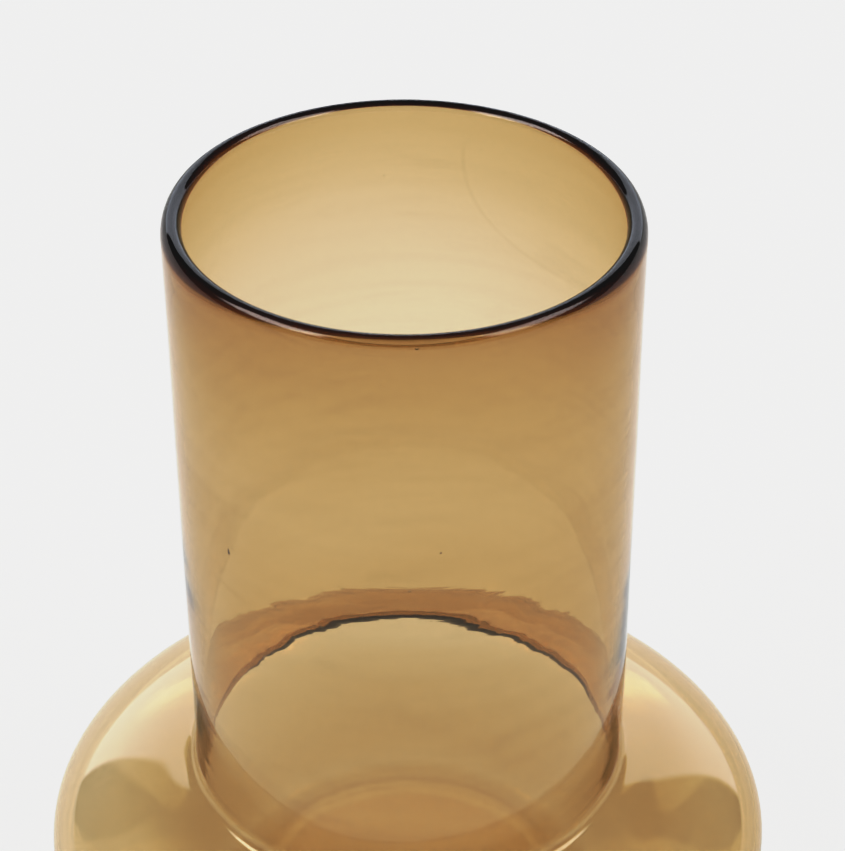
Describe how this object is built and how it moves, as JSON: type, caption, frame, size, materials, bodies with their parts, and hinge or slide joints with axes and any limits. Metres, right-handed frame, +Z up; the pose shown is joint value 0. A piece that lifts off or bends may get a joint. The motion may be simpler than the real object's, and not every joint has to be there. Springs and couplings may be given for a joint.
{
  "type": "wide-necked glass vase",
  "caption": "Blown amber glass vase with a wide straight neck, rounded fire-polished rim and squat lens-shaped body, for holding cut stems in water.",
  "frame": {"origin": "centre of the face the vase stands on", "axes": "+Z up along the vase's axis; X and Y are alike, because the vase is round"},
  "size_m": [0.17, 0.17, 0.192],
  "materials": {
    "rim_glass": "fire-polished amber glass",
    "neck_glass": "clear amber blown glass",
    "body_glass": "clear amber blown glass",
    "base_glass": "thick amber glass"
  },
  "bodies": {
    "root": {"rim_bead": "rim_glass", "neck_tube": "neck_glass", "crease_ring": "body_glass", "shoulder": "body_glass", "lower_bowl": "body_glass", "base_pad": "base_glass"}
  },
  "joints": []
}
